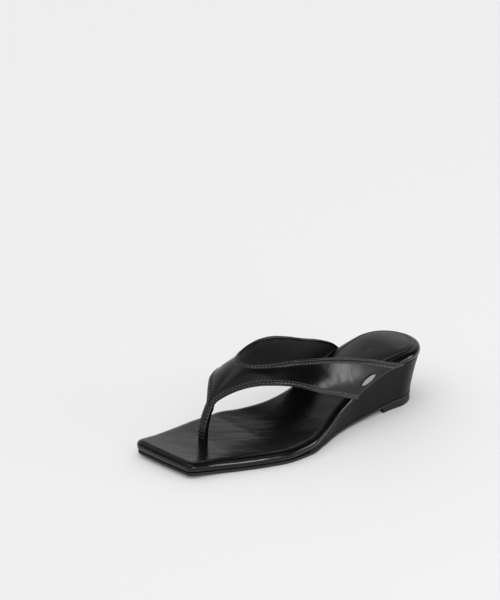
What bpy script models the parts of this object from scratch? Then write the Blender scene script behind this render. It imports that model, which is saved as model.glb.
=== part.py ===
"""Wedge thong sandal, left foot.

The toe points along -Y, the outer side is +X and the floor is z = 0. The sole is worked out from
its length, ball width, heel width and heel height. The strap is worked out from the same sole and
the instep height, over a form that runs from the sole's edge up to the ridge of the foot.
"""
import math

import bmesh
import bpy
from mathutils import Vector

# Sizes of the sole
LENGTH = 0.2500
BALL_WIDTH = 0.0955
HEEL_WIDTH = 0.0585
HEEL_HEIGHT = 0.0455
FOOTBED_THICKNESS = 0.0080
OUTSOLE_THICKNESS = 0.0026
TOE_SPRING = 0.0030
LIFT_HEIGHT = 0.0055
HEEL_SLANT = 0.0070
HEEL_TAPER = 0.0035
TOE_RADIUS_OUTER = 0.0060
TOE_RADIUS_INNER = 0.0090
EDGE_ROUND = 0.0030
TOE_BOW = 0.0008
SIDE_TUCK = 0.0012
WEDGE_FEATHER = 0.0008

# Sizes of the strap
INSTEP_HEIGHT = 0.0524
STRAP_WALL = 0.0016
BINDING_WIDTH = 0.0040
BINDING_STEP = 0.0005
STEP_RUN = 0.0005
POST_WIDTH = 0.0070
POST_THICKNESS = 0.0034
FLANGE_WIDTH = 0.0060

# Sizes of the heel pad and the badge
PAD_MARGIN = 0.0055
PAD_NOSE = 0.0580
PAD_EDGE = 0.0010
PAD_CROWN = 0.0020
BADGE_LENGTH = 0.0165
BADGE_WIDTH = 0.0056
BADGE_THICKNESS = 0.0008

# Clearance between pieces that touch
GAP = 0.0003

# Half widths of the footbed as shares of half the ball width, by share of the length.
# The first row is where the sides would meet the toe edge if the corners were sharp.
OUTER_SIDE = (
    # along, out
    (-0.484, 0.495),
    (-0.400, 0.604),
    (-0.320, 0.759),
    (-0.240, 0.908),
    (-0.160, 1.000),
    (-0.080, 0.970),
    (0.000, 0.815),
    (0.080, 0.640),
    (0.180, 0.510),
    (0.280, 0.469),
)
INNER_SIDE = (
    # along, out
    (-0.503, -0.830),
    (-0.400, -0.896),
    (-0.320, -0.954),
    (-0.240, -0.996),
    (-0.160, -1.000),
    (-0.080, -0.840),
    (0.000, -0.700),
    (0.080, -0.647),
    (0.180, -0.679),
    (0.280, -0.745),
)
# Middle of the heel as a share of half the ball width
HEEL_MIDDLE = -0.155

# Rise of the footbed from the forefoot to the heel seat, as a share
RISE = (
    # along, up
    (-0.180, 0.000),
    (-0.100, 0.030),
    (0.000, 0.140),
    (0.100, 0.350),
    (0.200, 0.610),
    (0.300, 0.845),
    (0.400, 0.975),
    (0.500, 1.010),
)
# Thickness of the footbed as a share of its size at the toe; the waist is thinner
BODY = (
    # along, thick
    (-0.080, 1.000),
    (0.050, 0.840),
    (0.136, 0.740),
    (0.200, 0.640),
    (0.300, 0.660),
    (0.360, 0.820),
    (0.430, 1.000),
)
# Underside: toe spring as a share of its size, then the arch as a share of the lift height
SPRING = (
    # along, up
    (-0.500, 1.000),
    (-0.450, 0.550),
    (-0.400, 0.220),
    (-0.320, 0.000),
)
ARCH = (
    # along, up
    (-0.060, 0.000),
    (0.000, 0.100),
    (0.100, 0.250),
    (0.200, 0.430),
    (0.300, 0.680),
    (0.400, 0.900),
    (0.460, 1.000),
)
LIFT_FRONT = 0.305
LIFT_FRONT_BOW = 0.0050

# Ridge of the foot form, as a share of half the ball width
RIDGE = (
    # along, out
    (-0.330, -0.227),
    (-0.170, -0.280),
    (0.500, -0.280),
)

# The strap's rows cross it from the ridge or the throat's edge to its front edge. Along is a
# share of the length, out a share of the way from the ridge to the seat at the sole's side, and
# up a share of the instep height over the footbed.
POST = (
    # along, up
    (-0.328, 0.000),
    (-0.325, 0.180),
    (-0.317, 0.310),
    (-0.302, 0.456),
)
OUTER_PANEL = (
    # ridge along, up, front along, out, up
    (-0.280, 0.609, -0.287, 0.085, 0.550),
    (-0.262, 0.690, -0.271, 0.135, 0.617),
    (-0.238, 0.780, -0.250, 0.222, 0.700),
    (-0.208, 0.885, -0.222, 0.345, 0.785),
    (-0.170, 1.000, -0.190, 0.466, 0.840),
)
INNER_PANEL = (
    # ridge along, up, front along, out, up
    (-0.280, 0.609, -0.291, 0.120, 0.508),
    (-0.262, 0.690, -0.276, 0.215, 0.582),
    (-0.238, 0.780, -0.257, 0.345, 0.648),
    (-0.208, 0.885, -0.225, 0.550, 0.705),
    (-0.170, 1.000, -0.186, 0.710, 0.712),
)
OUTER_BAND = (
    # throat along, out, up, front along, out, up
    (-0.165, 0.149, 1.002, -0.160, 0.554, 0.841),
    (-0.148, 0.249, 1.012, -0.125, 0.631, 0.814),
    (-0.116, 0.356, 1.025, -0.085, 0.697, 0.745),
    (-0.059, 0.470, 1.007, -0.037, 0.783, 0.610),
    (0.007, 0.608, 0.924, 0.010, 0.850, 0.455),
    (0.083, 0.748, 0.752, 0.060, 0.905, 0.290),
    (0.148, 0.850, 0.565, 0.115, 0.960, 0.080),
)
INNER_BAND = (
    # throat along, out, up, front along, out, up
    (-0.163, 0.125, 1.018, -0.148, 0.815, 0.675),
    (-0.145, 0.252, 1.040, -0.110, 0.909, 0.605),
    (-0.115, 0.390, 1.050, -0.070, 1.005, 0.530),
    (-0.076, 0.577, 1.045, -0.030, 1.080, 0.445),
    (-0.030, 0.815, 1.005, 0.020, 1.120, 0.320),
    (0.025, 1.000, 0.920, 0.065, 1.100, 0.180),
    (0.085, 1.110, 0.750, 0.103, 1.045, 0.010),
)
OUTER_SEAT = (
    # throat along, out, up, seat along
    (0.200, 0.920, 0.400, 0.166),
    (0.252, 0.968, 0.235, 0.228),
    (0.302, 0.992, 0.070, 0.285),
    (0.342, 1.000, -0.032, 0.332),
    (0.369, 1.000, -0.098, 0.369),
)
INNER_SEAT = (
    # throat along, out, up, seat along
    (0.150, 1.130, 0.525, 0.132),
    (0.205, 1.090, 0.345, 0.180),
    (0.250, 1.045, 0.180, 0.225),
    (0.280, 1.015, 0.060, 0.265),
    (0.303, 1.000, -0.060, 0.303),
)
# Height of the strap's crown over the straight line across it, as a share of that line
CROWN = 0.085
# Samples between two rows of the tables, across the panel, and round the corners of the sole
ROW_STEPS = 2
PANEL_STEPS = 3
CORNER_STEPS = 3
HEEL_STEPS = 4

# Middle of the badge: rows past the throat's front, and share of the way to the front edge
BADGE_ROW = 8.40
BADGE_ACROSS = 0.610


def smooth(table, x):
    """Value at x of a smooth curve through the two-column table, flat slopes kept flat."""
    rows = list(table)
    if x <= rows[0][0]:
        return rows[0][1]
    if x >= rows[-1][0]:
        return rows[-1][1]
    slopes = []
    for i in range(len(rows)):
        if i in (0, len(rows) - 1):
            a, b = (rows[0], rows[1]) if i == 0 else (rows[-2], rows[-1])
            slopes.append((b[1] - a[1]) / (b[0] - a[0]))
            continue
        before = (rows[i][1] - rows[i - 1][1]) / (rows[i][0] - rows[i - 1][0])
        after = (rows[i + 1][1] - rows[i][1]) / (rows[i + 1][0] - rows[i][0])
        slopes.append(0.0 if before * after <= 0.0 else 2.0 * before * after / (before + after))
    i = next(k for k in range(len(rows) - 1) if x <= rows[k + 1][0])
    span = rows[i + 1][0] - rows[i][0]
    t = (x - rows[i][0]) / span
    return (
        rows[i][1] * (1 + 2 * t) * (1 - t) ** 2
        + slopes[i] * span * t * (1 - t) ** 2
        + rows[i + 1][1] * t * t * (3 - 2 * t)
        + slopes[i + 1] * span * t * t * (t - 1)
    )


def ease(x, start, end):
    """Soft step from 0 at start to 1 at end."""
    t = min(max((x - start) / (end - start), 0.0), 1.0)
    return t * t * (3 - 2 * t)


def half_ball():
    return BALL_WIDTH / 2


def heel_centre():
    return Vector((HEEL_MIDDLE * half_ball(), LENGTH / 2 - HEEL_WIDTH / 2))


def side_x(side, y):
    """Plan position of the footbed's edge at y; side is 1 for the outer side, -1 for the inner."""
    centre = heel_centre()
    radius = HEEL_WIDTH / 2
    if y > centre.y:
        reach = math.sqrt(max(radius ** 2 - (y - centre.y) ** 2, 0.0))
        return centre.x + side * reach
    table = OUTER_SIDE if side > 0 else INNER_SIDE
    rows = list(table) + [(centre.y / LENGTH, (centre.x + side * radius) / half_ball())]
    return smooth(rows, y / LENGTH) * half_ball()


def ground(y):
    return TOE_SPRING * smooth(SPRING, y / LENGTH)


def sole_bottom(y):
    """Underside of the outsole."""
    return ground(y) + LIFT_HEIGHT * smooth(ARCH, y / LENGTH)


def footbed_top(y):
    stack = OUTSOLE_THICKNESS + FOOTBED_THICKNESS
    return ground(y) + stack + (HEEL_HEIGHT - stack) * smooth(RISE, y / LENGTH)


def footbed_thickness(y):
    return FOOTBED_THICKNESS * smooth(BODY, y / LENGTH)


def footbed_bottom(y):
    return footbed_top(y) - footbed_thickness(y)


def corner_arc(corner, along_side, along_toe, radius, steps):
    """Points of a rounded corner, from the side to the toe edge."""
    half = along_side.angle(along_toe) / 2
    middle = corner + (along_side + along_toe).normalized() * (radius / math.sin(half))
    start = corner + along_side * (radius / math.tan(half)) - middle
    end = corner + along_toe * (radius / math.tan(half)) - middle
    sweep = start.angle_signed(end)
    points = []
    for i in range(steps + 1):
        turn = -sweep * i / steps
        points.append(middle + Vector((
            start.x * math.cos(turn) - start.y * math.sin(turn),
            start.x * math.sin(turn) + start.y * math.cos(turn),
        )))
    return points


def toe_and_corners(end_steps):
    """Toe edge from the inner to the outer corner's middle, and the rest of each corner."""
    tips = {}
    for side, table in ((1, OUTER_SIDE), (-1, INNER_SIDE)):
        y = table[0][0] * LENGTH
        tips[side] = Vector((side_x(side, y), y))
    arcs = {}
    for side, radius in ((1, TOE_RADIUS_OUTER), (-1, TOE_RADIUS_INNER)):
        y = tips[side].y + radius * 2
        along_side = (Vector((side_x(side, y), y)) - tips[side]).normalized()
        along_toe = (tips[-side] - tips[side]).normalized()
        arcs[side] = corner_arc(tips[side], along_side, along_toe, radius, 2 * CORNER_STEPS)
    start, end = arcs[-1][-1], arcs[1][-1]
    straight = end_steps - 2 * CORNER_STEPS
    bow = Vector((end.y - start.y, start.x - end.x)).normalized() * TOE_BOW
    middle = []
    for i in range(1, straight):
        t = i / straight
        middle.append(start.lerp(end, t) + bow * 4 * t * (1 - t))
    toe = arcs[-1][CORNER_STEPS:] + middle + list(reversed(arcs[1][CORNER_STEPS:]))
    return toe, arcs[1][:CORNER_STEPS + 1], arcs[-1][:CORNER_STEPS + 1]


def sole_loop(front=None, bow=0.0, side_steps=30, end_steps=10):
    """Plan outline as four runs: front edge, outer side, heel and inner side, all one way round."""
    centre = heel_centre()
    radius = HEEL_WIDTH / 2
    if front is None:
        toe, outer_corner, inner_corner = toe_and_corners(end_steps)
    else:
        outer_corner = [Vector((side_x(1, front), front))]
        inner_corner = [Vector((side_x(-1, front), front))]
        toe = []
        for i in range(end_steps + 1):
            t = i / end_steps
            point = inner_corner[0].lerp(outer_corner[0], t)
            toe.append(point + Vector((0.0, bow * 4 * t * (1 - t))))
    runs = []
    for side, corner in ((1, outer_corner), (-1, inner_corner)):
        run = list(reversed(corner))
        start = run[-1].y
        straight = side_steps - len(corner) + 1 - HEEL_STEPS
        for i in range(1, straight + 1):
            y = start + (centre.y - start) * i / straight
            run.append(Vector((side_x(side, y), y)))
        for i in range(1, HEEL_STEPS + 1):
            turn = math.radians(45) * i / HEEL_STEPS
            run.append(centre + radius * Vector((side * math.cos(turn), math.sin(turn))))
        runs.append(run)
    heel = []
    for i in range(end_steps + 1):
        turn = math.radians(45 + 90 * i / end_steps)
        heel.append(centre + radius * Vector((math.cos(turn), math.sin(turn))))
    outer, inner = runs
    return toe, outer, heel, list(reversed(inner))


def slanted(point, share):
    """Plan point moved in under the heel by a share of its slant and taper."""
    centre = heel_centre()
    weight = share * ease(point.y, 0.15 * LENGTH, centre.y)
    narrow = 1 - weight * 2 * HEEL_TAPER / HEEL_WIDTH
    back = ease(point.y, 0.20 * LENGTH, LENGTH / 2)
    return Vector((
        centre.x + (point.x - centre.x) * narrow,
        point.y - share * HEEL_SLANT * back,
    ))


def closed(runs):
    """The four runs as one loop without repeated corners, and the place of each corner."""
    loop, corners = [], []
    for run in runs:
        corners.append(len(loop))
        loop.extend(run[:-1])
    return loop, corners


def inset(loop, depth):
    """Closed plan loop moved inwards by depth."""
    moved = []
    for i, point in enumerate(loop):
        along = loop[(i + 1) % len(loop)] - loop[i - 1]
        inward = Vector((-along.y, along.x)).normalized()
        moved.append(point + inward * depth)
    return moved


def cap_grid(loop, corners):
    """Grid of plan points inside a loop: rows along, columns from the inner to the outer side."""
    toe = loop[:corners[1] + 1]
    outer = loop[corners[1]:corners[2] + 1]
    heel = list(reversed(loop[corners[2]:corners[3] + 1]))
    inner = list(reversed(loop[corners[3]:] + loop[:1]))
    grid = []
    for i in range(len(outer)):
        u = i / (len(outer) - 1)
        row = []
        for j in range(len(toe)):
            v = j / (len(toe) - 1)
            sides = inner[i].lerp(outer[i], v)
            ends = toe[j].lerp(heel[j], u)
            flat = toe[0].lerp(toe[-1], v).lerp(heel[0].lerp(heel[-1], v), u)
            row.append(sides + ends - flat)
        grid.append(row)
    return grid


def layered_mesh(name, runs, rings, top_relief=None):
    """Closed solid from plan rings, lowest first: each ring is (depth, slant share, height(y)).

    The bottom and the top are closed by a grid, which top_relief can crown.
    """
    base, corners = closed(runs)
    mesh = bmesh.new()
    layers = []
    for depth, share, height in rings:
        plan = [slanted(point, share) for point in inset(base, depth)]
        layers.append((plan, [mesh.verts.new((p.x, p.y, height(p.y))) for p in plan]))
    count = len(base)
    for (_, low), (_, high) in zip(layers, layers[1:]):
        for i in range(count):
            j = (i + 1) % count
            mesh.faces.new((low[i], low[j], high[j], high[i]))
    for (plan, verts), ring, top in ((layers[0], rings[0], False), (layers[-1], rings[-1], True)):
        grid = cap_grid(plan, corners)
        rows, columns = len(grid), len(grid[0])
        edge = {}
        for j in range(columns):
            edge[(0, j)] = verts[j]
            edge[(rows - 1, columns - 1 - j)] = verts[corners[2] + j]
        for i in range(rows):
            edge[(i, columns - 1)] = verts[corners[1] + i]
            edge[(rows - 1 - i, 0)] = verts[(corners[3] + i) % count]
        nodes = {}
        for i in range(rows):
            for j in range(columns):
                if (i, j) in edge:
                    nodes[(i, j)] = edge[(i, j)]
                    continue
                point = grid[i][j]
                z = ring[2](point.y)
                if top and top_relief:
                    z += top_relief(i / (rows - 1), j / (columns - 1))
                nodes[(i, j)] = mesh.verts.new((point.x, point.y, z))
        for i in range(rows - 1):
            for j in range(columns - 1):
                face = [nodes[(i, j)], nodes[(i, j + 1)], nodes[(i + 1, j + 1)], nodes[(i + 1, j)]]
                mesh.faces.new(face if top else list(reversed(face)))
    data = bpy.data.meshes.new(name)
    mesh.to_mesh(data)
    mesh.free()
    return data


def material(name, colour, roughness, metallic=0.0):
    finish = bpy.data.materials.new(name)
    finish.use_nodes = True
    shader = finish.node_tree.nodes["Principled BSDF"]
    shader.inputs["Base Color"].default_value = (*colour, 1.0)
    shader.inputs["Roughness"].default_value = roughness
    shader.inputs["Metallic"].default_value = metallic
    return finish


def place(data, collection, finish=None, sharp=40.0):
    """Object for a mesh, shaded smooth up to the sharp angle in degrees."""
    piece = bpy.data.objects.new(data.name, data)
    collection.objects.link(piece)
    if finish:
        data.materials.append(finish)
        data.shade_smooth()
        data.set_sharp_from_angle(angle=math.radians(sharp))
    else:
        piece.hide_render = True
        piece.display_type = "WIRE"
    return piece


def cut(piece, cutter):
    modifier = piece.modifiers.new("cut_" + cutter.name, "BOOLEAN")
    modifier.operation = "DIFFERENCE"
    modifier.solver = "EXACT"
    modifier.object = cutter


# The sole

def make_outsole():
    rings = (
        (0.0022, 1.0, sole_bottom),
        (0.0016, 1.0, lambda y: sole_bottom(y) + 0.2 * OUTSOLE_THICKNESS),
        (0.0014, 1.0, lambda y: sole_bottom(y) + OUTSOLE_THICKNESS - GAP),
    )
    return layered_mesh("outsole", sole_loop(), rings)


def make_heel_lift():
    """Rubber block under the heel, its front edge bowed towards the back."""
    def top(y):
        return sole_bottom(y) - GAP

    runs = sole_loop(front=LIFT_FRONT * LENGTH, bow=LIFT_FRONT_BOW, side_steps=10)
    rings = (
        (0.0016, 1.0, lambda y: 0.0),
        (0.0012, 1.0, lambda y: 0.12 * LIFT_HEIGHT),
        (0.0012, 1.0, top),
    )
    return layered_mesh("heel_lift", runs, rings)


def wedge_front():
    """Where the wedge has thinned down to its feather edge."""
    low, high = -0.15 * LENGTH, 0.10 * LENGTH
    for _ in range(40):
        middle = (low + high) / 2
        thickness = footbed_bottom(middle) - GAP - sole_bottom(middle) - OUTSOLE_THICKNESS
        if thickness < WEDGE_FEATHER:
            low = middle
        else:
            high = middle
    return high


def make_wedge():
    def level(share):
        def height(y):
            top = footbed_bottom(y) - GAP
            bottom = sole_bottom(y) + OUTSOLE_THICKNESS
            return top + (bottom - top) * share
        return height

    rings = [(SIDE_TUCK, share, level(share)) for share in (1.0, 0.75, 0.5, 0.25, 0.0)]
    return layered_mesh("wedge", sole_loop(front=wedge_front(), side_steps=26), rings)


def make_footbed():
    def level(share, drop=0.0):
        return lambda y: footbed_top(y) - footbed_thickness(y) * share - drop

    edge = EDGE_ROUND
    rings = [(SIDE_TUCK, 0.0, level(1.0)), (0.35 * SIDE_TUCK, 0.0, level(0.80)), (0.0, 0.0, level(0.55))]
    for turn in (20, 45, 70, 90):
        side = math.radians(turn)
        rings.append((edge * (1 - math.cos(side)), 0.0, level(0.0, edge * (1 - math.sin(side)))))
    return layered_mesh("footbed", sole_loop(side_steps=44), rings)


# The strap

def seat_x(side, y):
    """Outer face of the strap where it passes the footbed's edge."""
    return side_x(side, y) + side * (GAP + STRAP_WALL)


def seat_z(y):
    """Lower face of the strap's flange, which lies on the wedge in a pocket of the footbed."""
    return footbed_bottom(y)


def seat_point(side, along):
    y = along * LENGTH
    return Vector((seat_x(side, y), y, seat_z(y)))


def form_point(side, along, out, up):
    """Point on the foot form over the sole."""
    y = along * LENGTH
    ridge = smooth(RIDGE, along) * half_ball()
    return Vector((
        ridge + (seat_x(side, y) - ridge) * out,
        y,
        footbed_top(y) + up * INSTEP_HEIGHT,
    ))


def spline(points, steps):
    """Smooth line through the points, with so many steps between two of them."""
    line = []
    last = len(points) - 1
    for i in range(last):
        a, b = points[i], points[i + 1]
        before = points[i - 1] if i > 0 else a * 2 - b
        after = points[i + 2] if i + 2 <= last else b * 2 - a
        for k in range(steps):
            t = k / steps
            line.append((
                a * 2
                + (b - before) * t
                + (before * 2 - a * 5 + b * 4 - after) * t ** 2
                + (a * 3 - b * 3 + after - before) * t ** 3
            ) / 2)
    line.append(points[-1].copy())
    return line


def post_foot():
    """Middle of the post's end, just over the outsole."""
    point = form_point(1, POST[0][0], 0.0, 0.0)
    point.z = sole_bottom(point.y) + OUTSOLE_THICKNESS + GAP
    return point


def strap_edges():
    """Ridge line, and for each side the throat's edge and the front edge, as lists of points."""
    ridge = [post_foot()] + [form_point(1, along, 0.0, up) for along, up in POST]
    ridge += [form_point(1, row[0], 0.0, row[1]) for row in OUTER_PANEL]
    throat, front = {}, {}
    tables = ((1, OUTER_PANEL, OUTER_BAND, OUTER_SEAT), (-1, INNER_PANEL, INNER_BAND, INNER_SEAT))
    for side, panel, band, seat in tables:
        edge = [point + Vector((side * POST_WIDTH / 2, 0.0, 0.0)) for point in ridge[:len(POST) + 1]]
        edge += [form_point(side, *row[2:]) for row in panel]
        edge += [form_point(side, *row[3:]) for row in band]
        edge.append(seat_point(side, seat[0][3]))
        edge = spline(edge, ROW_STEPS)
        for first, second in zip(seat, seat[1:]):
            for k in range(1, ROW_STEPS + 1):
                along = first[3] + (second[3] - first[3]) * k / ROW_STEPS
                edge.append(seat_point(side, along))
        front[side] = edge
        throat[side] = [form_point(side, *row[:3]) for row in band + seat]
    whole = list(reversed(throat[-1])) + [ridge[-1]] + throat[1]
    whole = spline(whole, ROW_STEPS)
    middle = len(throat[-1]) * ROW_STEPS
    throat = {1: whole[middle:], -1: list(reversed(whole[:middle + 1]))}
    return spline(ridge, ROW_STEPS), throat, front


def crowned(inner, outer, outward, share):
    """Point a share of the way from inner to outer, over the crown of that row."""
    rise = 4 * CROWN * share * (1 - share) * (outer - inner).length
    return inner.lerp(outer, share) + outward * rise


def outward_of(side, rows, i):
    """Outward direction of the strap at a row, from its neighbours."""
    low, high = rows[max(i - 1, 0)], rows[min(i + 1, len(rows) - 1)]
    along = (high[0] + high[1]) - (low[0] + low[1])
    across = rows[i][0] - rows[i][1]
    return side * along.cross(across).normalized()


def strap_rows(side):
    """Rows of one half of the strap: inner point, outer point, and whether past the throat."""
    ridge, throat, front = strap_edges()
    rows = list(zip(ridge[:-1] + throat[side], front[side]))
    return rows, len(ridge) - 1


def strap_half(mesh, side, ridge_verts, throat_verts, post):
    """Adds one half of the strap's outer face. The ridge's and the throat's middle are shared."""
    rows, first = strap_rows(side)
    seat_start = len(rows) - 1 - (len(OUTER_SEAT) - 1) * ROW_STEPS
    post_end = (len(POST) + 1) * ROW_STEPS
    grid, strip = [], []
    for i, (inner, outer) in enumerate(rows):
        outward = outward_of(side, rows, i)
        length = (outer - inner).length
        crown = ease(i, ROW_STEPS * 2, post_end)
        raised = outward * BINDING_STEP
        front_step = raised * (1 - ease(i, seat_start - 1, seat_start))
        line = []
        start = 0.0
        if i >= first:
            turn = ease(i, first, first + 3 * ROW_STEPS)
            ahead = (rows[first - 1][0] - rows[first][0]).normalized()
            edge_verts = []
            for depth, step in ((0.0, raised), (BINDING_WIDTH, raised), (BINDING_WIDTH + STEP_RUN, Vector())):
                depth = min(depth, 0.45 * length)
                point = crowned(inner, outer, outward, depth / length)
                point = (inner + ahead * depth).lerp(point, turn) + step
                edge_verts.append(point)
            if i == first:
                if not throat_verts:
                    throat_verts.extend(mesh.verts.new(point) for point in edge_verts)
                strip.append(list(throat_verts))
            else:
                strip.append([mesh.verts.new(point) for point in edge_verts])
            start = min(BINDING_WIDTH + STEP_RUN, 0.45 * length) / length
            line.append(strip[-1][2])
        else:
            if i not in ridge_verts:
                ridge_verts[i] = mesh.verts.new(inner)
            line.append(ridge_verts[i])
        binding = min(BINDING_WIDTH, 0.60 * length * (1 - start))
        run = min(STEP_RUN, 0.12 * length)
        stop = 1 - (binding + run) / length
        if i < first:
            inside = [stop * k / PANEL_STEPS for k in range(1, PANEL_STEPS)]
        else:
            inside = [start + (stop - start) * k / PANEL_STEPS for k in range(1, PANEL_STEPS)]
        for share in inside + [stop]:
            point = inner.lerp(outer, share)
            line.append(mesh.verts.new(point.lerp(crowned(inner, outer, outward, share), crown)))
        share = 1 - binding / length
        point = inner.lerp(outer, share).lerp(crowned(inner, outer, outward, share), crown)
        line.append(mesh.verts.new(point + front_step))
        line.append(mesh.verts.new(outer + front_step))
        if i >= seat_start:
            line.append(mesh.verts.new(outer - Vector((side * FLANGE_WIDTH, 0.0, 0.0))))
        grid.append(line)
        if i < post_end:
            post.extend(vert for vert in line if vert not in post)
    for table in (grid, strip):
        for low, high in zip(table, table[1:]):
            for k in range(min(len(low), len(high)) - 1):
                face = [low[k], low[k + 1], high[k + 1], high[k]]
                mesh.faces.new(face if side > 0 else list(reversed(face)))


def make_upper():
    """Thong strap: post, panel and both side bands in one wall, with raised folded edges."""
    mesh = bmesh.new()
    ridge_verts, throat_verts, post = {}, [], []
    for side in (1, -1):
        strap_half(mesh, side, ridge_verts, throat_verts, post)
    mesh.verts.index_update()
    post_places = [vert.index for vert in post]
    bmesh.ops.recalc_face_normals(mesh, faces=mesh.faces)
    data = bpy.data.meshes.new("upper")
    mesh.to_mesh(data)
    mesh.free()
    return data, post_places


def thicken_upper(piece, post_places):
    """Wall inwards from the outer face, thicker at the post."""
    group = piece.vertex_groups.new(name="wall")
    group.add(list(range(len(piece.data.vertices))), STRAP_WALL / POST_THICKNESS, "REPLACE")
    group.add(post_places, 1.0, "REPLACE")
    wall = piece.modifiers.new("wall", "SOLIDIFY")
    wall.thickness = POST_THICKNESS
    wall.offset = -1.0
    wall.vertex_group = group.name


def make_post_slot():
    """Cutter for the slot that the post passes through in the footbed."""
    foot = post_foot()
    mesh = bmesh.new()
    bmesh.ops.create_cube(mesh, size=1.0)
    depth = POST_THICKNESS + BINDING_STEP + 2 * GAP
    height = 4 * FOOTBED_THICKNESS
    middle = foot + Vector((0.0, depth / 2 - BINDING_STEP - GAP, 0.0))
    bmesh.ops.scale(mesh, vec=(POST_WIDTH + 2 * GAP, depth, height), verts=mesh.verts)
    bmesh.ops.translate(mesh, vec=middle, verts=mesh.verts)
    data = bpy.data.meshes.new("post_slot")
    mesh.to_mesh(data)
    mesh.free()
    return data


def make_pocket(side, seat):
    """Cutter for the pocket in the footbed's underside that takes the strap's flange."""
    start, end = seat[0][3] * LENGTH - 4 * GAP, seat[-1][3] * LENGTH + 2 * GAP
    steps = 10
    mesh = bmesh.new()
    frames = []
    for i in range(steps + 1):
        y = start + (end - start) * i / steps
        inner = seat_x(side, y) - side * (FLANGE_WIDTH + GAP)
        outer = seat_x(side, y) + side * FLANGE_WIDTH
        low, high = seat_z(y) - 2 * STRAP_WALL, seat_z(y) + STRAP_WALL + GAP
        frames.append([mesh.verts.new(p) for p in (
            (inner, y, low), (outer, y, low), (outer, y, high), (inner, y, high))])
    for a, b in zip(frames, frames[1:]):
        for k in range(4):
            mesh.faces.new((a[k], a[(k + 1) % 4], b[(k + 1) % 4], b[k]))
    mesh.faces.new(list(reversed(frames[0])))
    mesh.faces.new(frames[-1])
    bmesh.ops.recalc_face_normals(mesh, faces=mesh.faces)
    data = bpy.data.meshes.new("pocket_outer" if side > 0 else "pocket_inner")
    mesh.to_mesh(data)
    mesh.free()
    return data


# The heel pad and the badge

def make_heel_pad(steps=40):
    """Egg-shaped cushion: a half circle round the heel and a long half ellipse towards the toe."""
    centre = heel_centre()
    radius = HEEL_WIDTH / 2 - PAD_MARGIN
    plan = []
    for i in range(steps):
        turn = 2 * math.pi * i / steps
        reach = radius if math.sin(turn) >= 0 else PAD_NOSE
        plan.append(Vector((radius * math.cos(turn), reach * math.sin(turn))))
    middle = Vector((0.0, (radius - PAD_NOSE) / 2))
    mesh = bmesh.new()

    def ring(scale, lift):
        verts = []
        for point in plan:
            p = centre + middle + (point - middle) * scale
            verts.append(mesh.verts.new((p.x, p.y, footbed_top(p.y) + GAP + lift)))
        return verts

    lows = [ring(scale, 0.0) for scale in (0.25, 0.50, 0.75, 0.98)]
    sides = [ring(1.0, 0.4 * PAD_EDGE), ring(0.99, 0.8 * PAD_EDGE)]
    tops = [
        ring(scale, PAD_EDGE + PAD_CROWN * (1 - scale ** 2.5))
        for scale in (0.96, 0.90, 0.80, 0.62, 0.42, 0.21)
    ]
    rings = lows + sides + tops
    for low, high in zip(rings, rings[1:]):
        for i in range(steps):
            j = (i + 1) % steps
            mesh.faces.new((low[i], low[j], high[j], high[i]))
    for verts, lift, top in ((rings[0], 0.0, False), (rings[-1], PAD_EDGE + PAD_CROWN, True)):
        p = centre + middle
        hub = mesh.verts.new((p.x, p.y, footbed_top(p.y) + GAP + lift))
        for i in range(steps):
            j = (i + 1) % steps
            mesh.faces.new((verts[i], verts[j], hub) if top else (verts[j], verts[i], hub))
    data = bpy.data.meshes.new("heel_pad")
    mesh.to_mesh(data)
    mesh.free()
    return data


def make_badge(steps=28):
    """Oval plate laid along the outer band, following its face."""
    rows, first = strap_rows(1)
    place_row = first + BADGE_ROW * ROW_STEPS
    low = int(place_row)
    share = place_row - low
    surfaces = []
    for i in (low, low + 1):
        outward = outward_of(1, rows, i)
        surfaces.append((crowned(rows[i][0], rows[i][1], outward, BADGE_ACROSS), outward))
    middle = surfaces[0][0].lerp(surfaces[1][0], share)
    outward = surfaces[0][1].lerp(surfaces[1][1], share).normalized()
    ahead = Vector((0.0, LENGTH * 0.01, seat_z(middle.y + LENGTH * 0.01) - seat_z(middle.y)))
    ahead = (ahead - outward * ahead.dot(outward)).normalized()
    across = outward.cross(ahead)
    mesh = bmesh.new()
    layers = []
    for scale, lift in ((1.0, 0.0), (1.0, 0.6), (0.86, 1.0)):
        layer = []
        for i in range(steps):
            turn = 2 * math.pi * i / steps
            a = scale * BADGE_LENGTH / 2 * math.cos(turn)
            b = scale * BADGE_WIDTH / 2 * math.sin(turn)
            base = middle + outward * (2 * GAP + lift * BADGE_THICKNESS)
            layer.append(mesh.verts.new(base + ahead * a + across * b))
        layers.append(layer)
    for a, b in zip(layers, layers[1:]):
        for i in range(steps):
            j = (i + 1) % steps
            mesh.faces.new((a[i], a[j], b[j], b[i]))
    mesh.faces.new(list(reversed(layers[0])))
    mesh.faces.new(layers[-1])
    bmesh.ops.recalc_face_normals(mesh, faces=mesh.faces)
    data = bpy.data.meshes.new("badge")
    mesh.to_mesh(data)
    mesh.free()
    return data


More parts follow.
